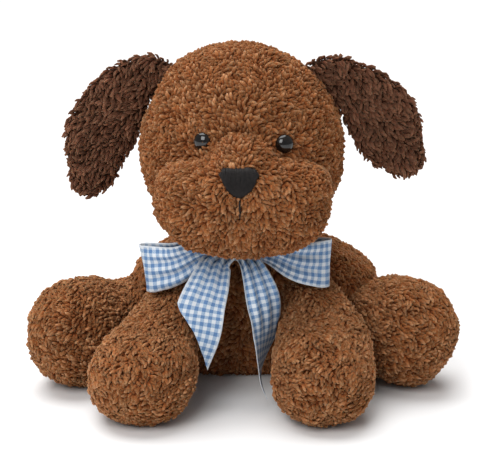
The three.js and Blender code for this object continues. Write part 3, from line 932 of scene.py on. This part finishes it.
for name, side in SIDES.items():
    reach, drop, halfway, slant = LOOPS[name]

    def out(share, forward, down, side=side, reach=reach):
        return KNOT + mm(side * reach * share, -forward, down)

    # The ribbon leaves the knot, runs out in front, turns at the outer fold and comes back behind.
    path = [
        out(0.0, 2, 0),
        out(0.12, 5, 0),
        out(0.36, 8, -0.5),
        out(0.66, 8.5, halfway),
        out(0.93, 4, drop),
        out(1.0, -0.5, drop),
        out(0.93, -4.5, drop),
        out(0.66, -4, halfway),
        out(0.36, -2.5, -0.5),
        out(0.12, -0.5, 0),
        out(0.0, 0, 0),
    ]
    Ribbon(
        f"{name}_bow_ribbon",
        path,
        [Vector((slant, 0.1, 1))] * len(path),
        held_at(10, 11, 16, 26, 32, 32, 32, 26, 16, 11, 10),
        start=side * 0.8,
    ).build(
        [f"{name}_bow_loop"],
        lifted=name,
    )

# Each hanging end: the points of its middle line, and which way it faces at each of them.
Ribbon(
    "right_ribbon_end",
    [
        KNOT,
        mm(-11, -66, 97.5),
        mm(-17.3, -72, 95),
        mm(-20.2, -78, 89),
        mm(-23.1, -84, 81.2),
        mm(-27.8, -92, 68.6),
        mm(-30.8, -103, 53),
        mm(-36, -108, 35),
    ],
    [
        Vector(facing)
        for facing in (
            (1, 0, 0.1),
            (1, 0.1, 0),
            (1, 0.1, 0),
            (1, 0, 0),
            (1, -0.05, 0),
            (1, -0.1, 0),
            (1, 0.3, -0.1),
            (0.8, 0.5, -0.15),
        )
    ],
    held_at(10, 14, 20, 24, 28, 32, 32, 32),
    cuts=(0, -1.25),
).build(
    ["right_ribbon_tail"],
    over=("body", "right_foreleg"),
    lifted="right",
)
Ribbon(
    "left_ribbon_end",
    [
        KNOT,
        mm(-0.5, -66, 98),
        mm(4.3, -73, 95),
        mm(8.4, -78, 87),
        mm(12.4, -80, 74.5),
        mm(15.1, -80, 60.7),
        mm(15.1, -80, 46.8),
        mm(13.1, -81, 32.8),
        mm(11.8, -82, 19.4),
        mm(13.5, -82, 8),
    ],
    [
        Vector(facing)
        for facing in (
            (1, 0, 0),
            (1, 0, 0),
            (1, 0, 0),
            (1, 0.15, 0),
            (0.9, 0.45, 0),
            (0.66, 0.75, 0),
            (0.5, 0.85, 0),
            (0.25, 0.95, 0),
            (0.03, 1, 0),
            (-0.15, 1, 0),
        )
    ],
    held_at(10, 11, 14, 18, 24, 30, 32, 32, 32, 32),
    cuts=(0, 0.6),
).build(
    ["left_ribbon_tail"],
    over=("body", "left_foreleg"),
    lifted="left",
)

band_low, band_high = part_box("ribbon_neck_band")
band_middle = middle("ribbon_neck_band")
band_radius = (band_high[0] - band_low[0]) / 2 - 1.5 * MM
turns = [number * math.tau / 24 for number in range(25)]
Ribbon(
    "neck_ribbon",
    [band_middle + Vector((math.sin(turn), -math.cos(turn), 0)) * band_radius for turn in turns],
    [Vector((0, 0, 1))] * 25,
    held_at(*[8] * 25),
).build(["ribbon_neck_band"])

turns = [number * math.tau / 16 for number in range(17)]
Ribbon(
    "ribbon_knot_wrap",
    [KNOT + Vector((0, -math.cos(turn), math.sin(turn))) * KNOT_RADIUS for turn in turns],
    [Vector((1, 0, 0))] * 17,
    held_at(*[12] * 17),
    start=0.6,
).build(["ribbon_knot"])


# ------------------------------------------------------------------ eyes, nose and mouth

def new_piece(name, bm, finish, body, nodes):
    mesh = bpy.data.meshes.new(name)
    for face in bm.faces:
        face.smooth = True
    bmesh.ops.recalc_face_normals(bm, faces=bm.faces[:])
    bm.to_mesh(mesh)
    bm.free()
    mesh.materials.append(finish)
    piece = bpy.data.objects.new(name, mesh)
    bpy.context.scene.collection.objects.link(piece)
    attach(piece, body)
    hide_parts(*nodes)
    return piece


def eye_finish():
    """Moulded black-brown plastic, polished, with the faint flow of its moulding."""
    finish = Finish(
        "eye_plastic",
        0.1,
        Coat_Weight=0.4,
        Coat_Roughness=0.03,
        Specular_IOR_Level=0.35,
    )
    flow = finish.noise(260.0, 2.0)
    finish.feed("Base Color", finish.ramp(flow, (0.35, paint(9, 7, 7)), (0.8, paint(30, 24, 20))))
    finish.feed("Roughness", flow * 0.08 + 0.06)
    return finish.material


EYE_RADIUS = 6.3 * MM
EYE_DOME = 4.6 * MM  # in front of the rim
EYE_BACK = EYE_RADIUS * 0.18  # behind it
SHANK_RADIUS = 2 * MM
SHANK_LENGTH = 12 * MM
black_plastic = eye_finish()

# How far each eye lies below its middle in the frame, and how far its rim stands out from there.
for name, drop, stand in (("left", 3.4, 3.2), ("right", 1.8, 1.2)):
    place = middle(f"{name}_eye") - mm(0, 0, drop)
    out = Vector([away / size**2 for away, size in zip(place - HEAD_CENTRE, HEAD_SIZE)])
    out.normalize()
    rim = place + out * stand * MM
    turn = out.to_track_quat("Z", "Y").to_matrix().to_4x4()
    bm = bmesh.new()
    bmesh.ops.create_uvsphere(bm, u_segments=40, v_segments=24, radius=1)
    for vert in bm.verts:
        height = EYE_DOME if vert.co.z > 0 else EYE_BACK
        vert.co = Vector((vert.co.x * EYE_RADIUS, vert.co.y * EYE_RADIUS, vert.co.z * height))
    bmesh.ops.create_cone(
        bm,
        cap_ends=True,
        segments=20,
        radius1=SHANK_RADIUS,
        radius2=SHANK_RADIUS,
        depth=SHANK_LENGTH,
        matrix=Matrix.Translation((0, 0, -0.6 * MM - SHANK_LENGTH / 2)),
    )
    bm.transform(Matrix.Translation(rim) @ turn)
    new_piece(f"{name}_safety_eye", bm, black_plastic, "head", [f"{name}_eye"])


def thread_finish():
    """Stranded embroidery thread, with painted highlight: lighter flecks where the strands turn
    up.
    """
    finish = Finish("charcoal_thread", 0.55, Specular_IOR_Level=0.2)
    twist = finish.noise(700.0)
    # Painted highlight: lighter where the twist's bump rises; the broader noise is uneven tone.
    light = twist * 0.6 + finish.noise(90.0, 1.0) * 0.4
    finish.feed("Base Color", finish.ramp(light, (0.3, paint(8, 6, 6)), (0.75, paint(32, 27, 26))))
    finish.bump(twist, 0.15 * MM, 0.5)
    return finish.material


charcoal = thread_finish()

NOSE_MIDDLE = mm(-2.2, 0, 156.9)
NOSE_OUTLINE = (  # the stitched shape, from the middle of its top edge round to the left
    (0, 9.4), (6, 9.7), (10.4, 8.6), (13.3, 3.9),
    (11.6, -1.6), (9.0, -5.5), (4.6, -8.8), (0, -10.4),
)
NOSE_REACH = 13.1  # of the outermost thread from the middle
STRANDS = 30
STRAND_RADIUS = 0.62 * MM
STRAND_STEPS = 8
MOUTH_RADIUS = 0.7 * MM
MOUTH_STEPS = 7
MOUTH_TOP = 10  # under the nose's middle, and how far the thread runs down from there
MOUTH_RUN = 12


def nose_reach(across):
    """Top and bottom of the nose at a distance from its middle, in mm."""
    across = abs(across)
    heights = []
    for (x0, z0), (x1, z1) in zip(NOSE_OUTLINE, NOSE_OUTLINE[1:]):
        if min(x0, x1) <= across <= max(x0, x1):
            heights.append(z0 + (z1 - z0) * (across - x0) / (x1 - x0))
    return max(heights), min(heights)


def on_muzzle(x, z, height):
    """A point in front of the muzzle's backing, lifted off it by a height."""
    in_front = Vector((x, -0.3, z))
    spot, normal, _, _ = skins["muzzle"].tree.ray_cast(in_front, Vector((0, 1, 0)))
    return spot + (normal + Vector((0, -0.6, 0))).normalized() * height


def stitches(lines, radius, sides=6):
    """Threads along lines, each a closed rod that dips into the fabric at both ends."""
    bm = bmesh.new()
    for line in lines:
        ring = bmesh.ops.create_circle(bm, cap_ends=True, radius=radius, segments=sides)["verts"]
        face = ring[0].link_faces[0]
        place = line[0]
        first = (line[1] - line[0]).normalized()
        turn = first.to_track_quat("Z", "Y").to_matrix()
        bmesh.ops.rotate(bm, verts=ring, matrix=turn)
        bmesh.ops.translate(bm, verts=ring, vec=place)
        for number in range(1, len(line)):
            face = bmesh.ops.extrude_discrete_faces(bm, faces=[face])["faces"][0]
            after = (line[min(number + 1, len(line) - 1)] - line[number - 1]).normalized()
            swing = first.rotation_difference(after).to_matrix()
            first = after
            bmesh.ops.rotate(bm, verts=face.verts, cent=line[number - 1], matrix=swing)
            bmesh.ops.translate(bm, verts=face.verts, vec=line[number] - line[number - 1])
    return bm


lines = []
for number in range(STRANDS):
    share = (number + 0.5) / STRANDS * 2 - 1
    across = share * NOSE_REACH
    top, bottom = nose_reach(across)
    top += 0.5 * noise.noise(Vector((number * 1.7, 0, 0)))
    bottom += 0.5 * noise.noise(Vector((number * 1.7, 5, 0)))
    line = []
    for step in range(STRAND_STEPS + 1):
        t = step / STRAND_STEPS
        x = across * (0.97 - 0.16 * t) + 0.25 * noise.noise(Vector((number, step * 0.4, 0)))
        z = top + (bottom - top) * t
        crown = (1 - share**2) ** 0.5 * math.sin(math.pi * t) ** 0.5
        lift = -0.8 if step in (0, STRAND_STEPS) else 2.2 + 2.4 * crown
        line.append(on_muzzle(NOSE_MIDDLE.x + x * MM, NOSE_MIDDLE.z + z * MM, lift * MM))
    lines.append(line)
new_piece(
    "nose_stitching",
    stitches(lines, STRAND_RADIUS),
    charcoal,
    "head",
    ["nose_embroidery"],
)

mouth = []
for step in range(MOUTH_STEPS + 1):
    t = step / MOUTH_STEPS
    lift = 0.2 if step in (0, MOUTH_STEPS) else 4.2 - 2.6 * rise(t, 0.2, 0.8)
    z = NOSE_MIDDLE.z - (MOUTH_TOP + MOUTH_RUN * t) * MM
    mouth.append(on_muzzle(NOSE_MIDDLE.x + 0.4 * MM, z, lift * MM))
new_piece(
    "mouth_thread",
    stitches([mouth], MOUTH_RADIUS),
    charcoal,
    "head",
    ["mouth_stitch"],
)


# ------------------------------------------------------------------ hidden plastic, care label

def washer_finish():
    """Plain white moulded plastic, a little uneven."""
    finish = Finish("washer_plastic", 0.45)
    flow = finish.noise(180.0, 3.0)
    colour = finish.ramp(flow, (0.3, paint(225, 222, 214)), (0.7, paint(240, 238, 232)))
    finish.feed("Base Color", colour)
    finish.feed("Roughness", flow * 0.2 + 0.35)
    finish.bump(flow, 0.1 * MM, 0.3)
    return finish.material


white_plastic = washer_finish()
for name in SIDES:
    washer = frame["nodes"][f"{name}_eye_washer"]
    for held in washer.material_slots:
        held.material = white_plastic


def label_finish():
    """Blank woven tape."""
    finish = Finish("label_tape", 0.6, Sheen_Weight=0.1)
    weave = finish.noise(1400.0, 1.0)
    colour = finish.ramp(weave, (0.3, paint(228, 226, 220)), (0.7, paint(247, 246, 242)))
    finish.feed("Base Color", colour)
    finish.bump(weave, 0.08 * MM, 0.5)
    return finish.material


LABEL_THICKNESS = 0.25 * MM
LABEL_GAP = 0.45 * MM  # each layer's distance from the middle of the fold
LABEL_DROOP = 1.2 * MM
FOLD_START = 0.86  # where the two layers begin to close, as a share of the way out

low, high = (Vector(c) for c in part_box("care_label"))
tape = bmesh.new()
bmesh.ops.create_grid(tape, x_segments=10, y_segments=40, size=0.5)
for vert in tape.verts:
    run, side = (vert.co.y + 0.5) * 2, vert.co.x
    layer, reach = (1, run) if run < 1 else (-1, 2 - run)  # out above the fold, and back below it
    closing = max(reach - FOLD_START, 0) / (1 - FOLD_START)
    lift = LABEL_GAP * layer * max(1 - closing, 0) ** 0.5
    vert.co = Vector((
        (low.x + high.x) / 2 + side * (high.x - low.x),
        low.y + reach * (high.y - low.y),
        (low.z + high.z) / 2 + lift - reach**2 * LABEL_DROOP,
    ))
label = new_piece("care_label_tape", tape, label_finish(), "torso", ["care_label"])
wall = label.modifiers.new("cloth", "SOLIDIFY")
wall.thickness = LABEL_THICKNESS
wall.offset = 0


# ------------------------------------------------------------------ floor, light, camera

VIEW_TARGET = Vector((0.0045, 0, 0.097))
VIEW_HEIGHT = math.radians(15)
VIEW_DISTANCE = 1.2
VIEW_WIDTH = 0.350
FILM_WIDTH = 36
FLOOR_HALF = 4
SKY_LIGHT = 0.3  # a dim sky for the light, so that shadows keep their depth
BACKDROP_LIGHT = 0.95  # a pale backdrop to look at
LIT_POINT = Vector((0, 0, 0.1))


def studio():
    bm = bmesh.new()
    bmesh.ops.create_grid(bm, x_segments=2, y_segments=2, size=FLOOR_HALF)
    mesh = bpy.data.meshes.new("floor")
    bm.to_mesh(mesh)
    bm.free()
    floor = bpy.data.objects.new("floor", mesh)
    bpy.context.scene.collection.objects.link(floor)
    paper = Finish("floor_paper", 0.9)
    pale = paper.noise(40.0)
    white, grey = (0.93, 0.93, 0.93, 1), (0.9, 0.9, 0.9, 1)
    paper.feed("Base Color", paper.blend(pale * 0.04, white, grey))
    mesh.materials.append(paper.material)

    world = bpy.data.worlds.new("studio")
    bpy.context.scene.world = world
    world.use_nodes = True
    sky = world.node_tree.nodes["Background"].inputs
    sky["Color"].default_value = (1, 1, 1, 1)
    seen_directly = Net(world.node_tree).add("ShaderNodeLightPath")
    strength = seen_directly * (BACKDROP_LIGHT - SKY_LIGHT) + SKY_LIGHT
    world.node_tree.links.new(strength.socket, sky["Strength"])

    for name, kind, place, spread, power in (
        ("key_light", "AREA", (-0.5, -1.2, 1.1), 0.9, 15),
        ("ceiling_light", "SUN", (-0.2, 0.3, 1.2), 1.0, 2.9),
    ):
        lamp = bpy.data.lights.new(name, kind)
        setattr(lamp, "size" if kind == "AREA" else "angle", spread)
        lamp.energy = power
        held = bpy.data.objects.new(name, lamp)
        held.location = place
        ahead = LIT_POINT - Vector(place)
        held.rotation_euler = ahead.to_track_quat("-Z", "Y").to_euler()
        bpy.context.scene.collection.objects.link(held)

    seen = bpy.data.cameras.new("camera")
    seen.sensor_width = FILM_WIDTH
    seen.lens = FILM_WIDTH * VIEW_DISTANCE / VIEW_WIDTH
    camera = bpy.data.objects.new("camera", seen)
    back = Vector((0, -math.cos(VIEW_HEIGHT), math.sin(VIEW_HEIGHT)))
    camera.location = VIEW_TARGET + back * VIEW_DISTANCE
    camera.rotation_euler = (-back).to_track_quat("-Z", "Y").to_euler()
    bpy.context.scene.collection.objects.link(camera)
    bpy.context.scene.camera = camera
    bpy.context.scene.view_settings.view_transform = "Standard"


studio()
